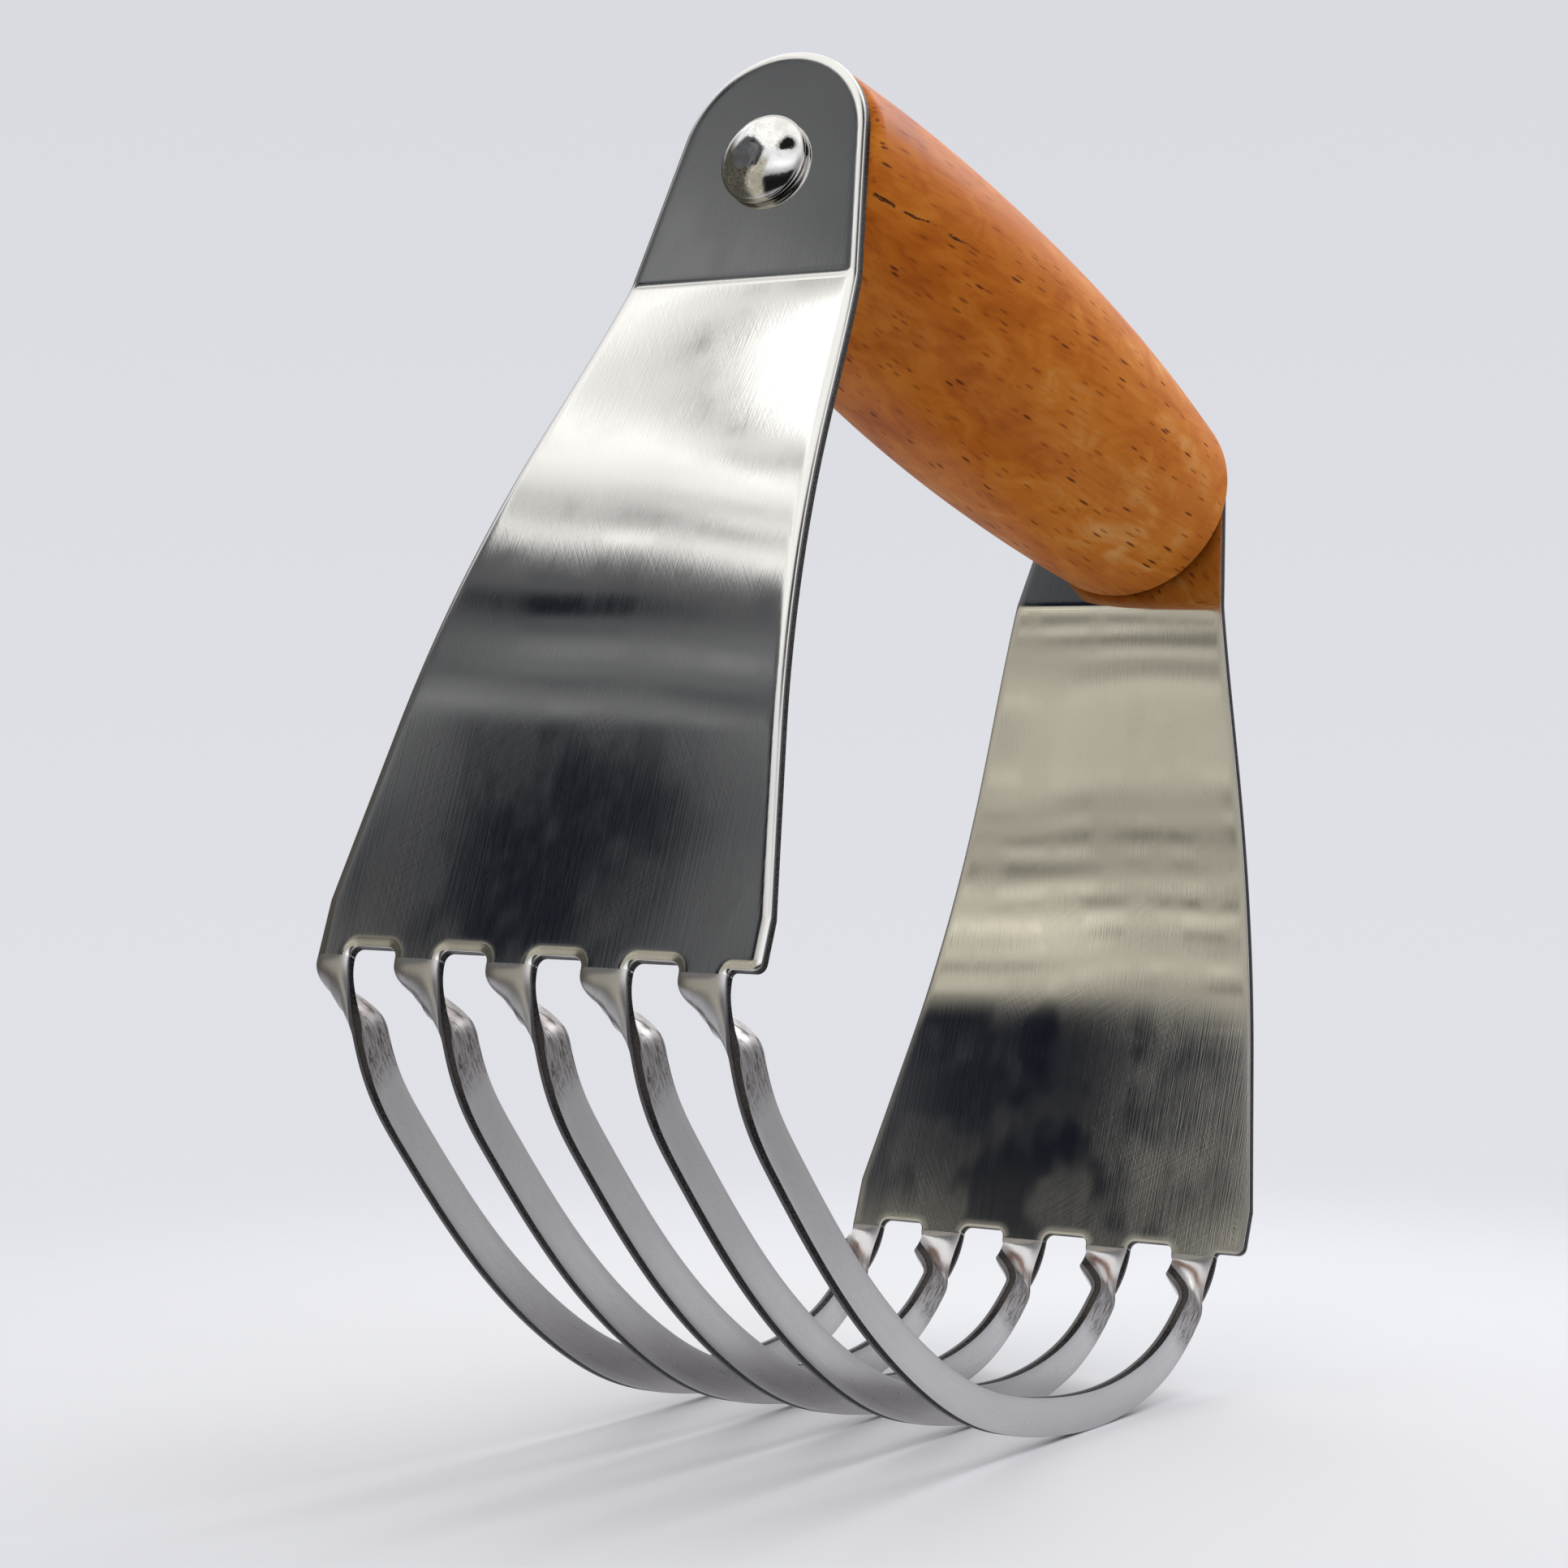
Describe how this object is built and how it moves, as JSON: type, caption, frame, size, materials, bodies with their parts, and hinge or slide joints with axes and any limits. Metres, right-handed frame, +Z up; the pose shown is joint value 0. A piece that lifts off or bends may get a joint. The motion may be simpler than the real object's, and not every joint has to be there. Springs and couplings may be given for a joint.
{
  "type": "pastry blender",
  "caption": "Hand tool with curved steel blades between two tapering arms and a barrel-shaped wooden handle, for cutting fat into flour.",
  "frame": {"origin": "on the centre plane between the arms and between the sheet's two sides, level with the lowest point of the blades", "axes": "+Z up from the blades to the handle, +X along the handle, +Y across the blades"},
  "size_m": [0.115, 0.0547, 0.1415],
  "materials": {
    "polished_steel": "polished stainless sheet with faint brushing",
    "blade_steel": "satin stainless strip with sheared edges",
    "rivet_steel": "bright domed head",
    "lacquered_beech": "orange-brown clear lacquer"
  },
  "bodies": {
    "root": {"left_arm": "polished_steel", "right_arm": "polished_steel", "blade_1": "blade_steel", "blade_2": "blade_steel", "blade_3": "blade_steel", "blade_4": "blade_steel", "blade_5": "blade_steel", "handle": "lacquered_beech", "left_rivet": "rivet_steel", "right_rivet": "rivet_steel"}
  },
  "joints": []
}
